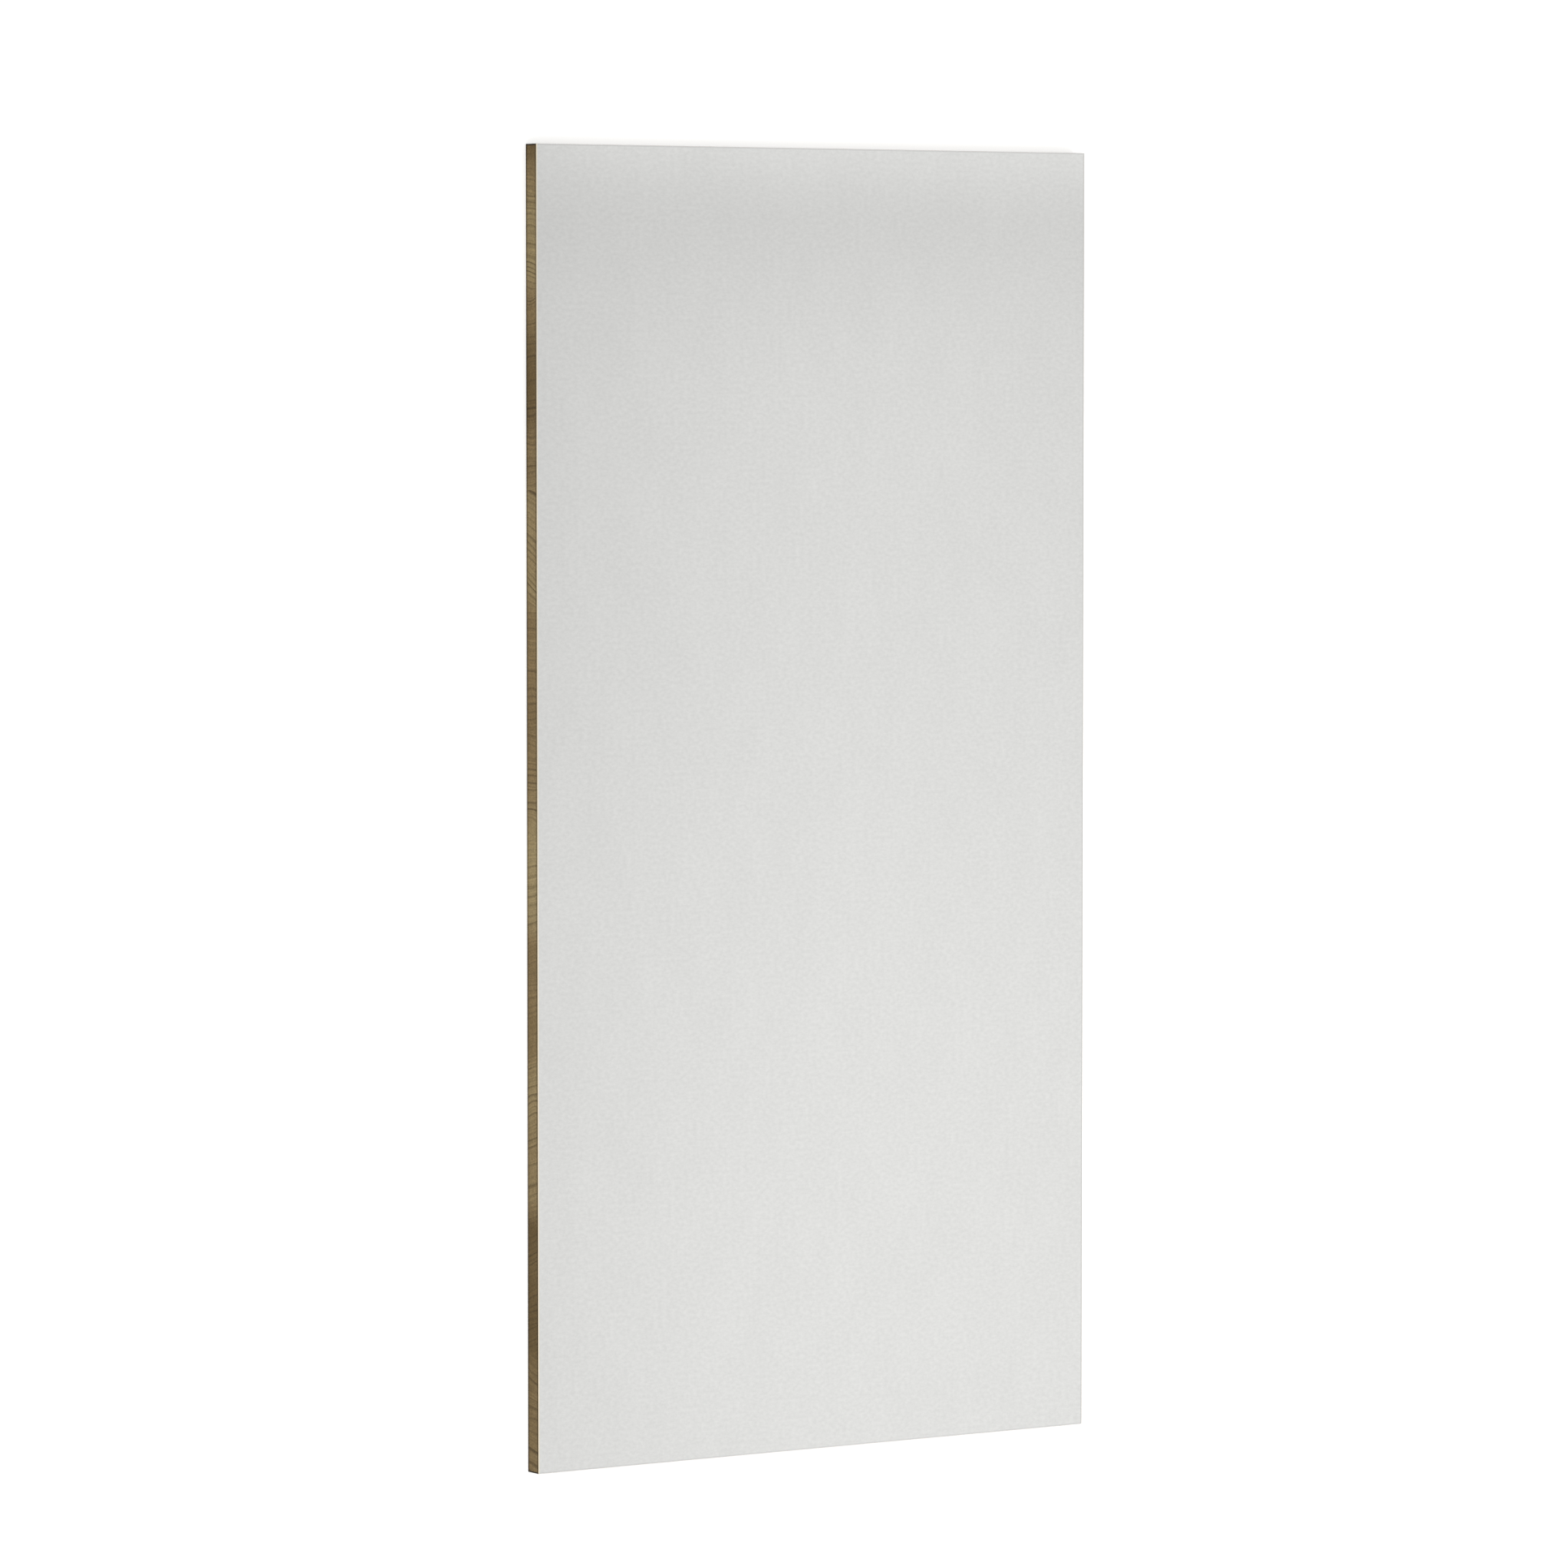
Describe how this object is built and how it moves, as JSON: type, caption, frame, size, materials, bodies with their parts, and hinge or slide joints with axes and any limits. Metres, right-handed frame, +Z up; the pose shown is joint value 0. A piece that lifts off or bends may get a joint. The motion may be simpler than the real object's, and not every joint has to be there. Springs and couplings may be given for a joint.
{
  "type": "decorative laminate-faced board",
  "caption": "Flat full-size rectangular board: a solid wood core with a thin pale grey decorative laminate bonded to one face, for furniture, doors and wall panels.",
  "frame": {"origin": "centre of the core's back face, which lies on the floor", "axes": "+X across the width, -X being the edge whose growth rings the picture shows; +Y along the length; +Z up, out of the decorative face"},
  "size_m": [1.2192, 2.4384, 0.038],
  "materials": {
    "core_wood": "matte",
    "decor_laminate": "satin"
  },
  "bodies": {
    "root": {"core_board": "core_wood", "face_laminate": "decor_laminate"}
  },
  "joints": []
}
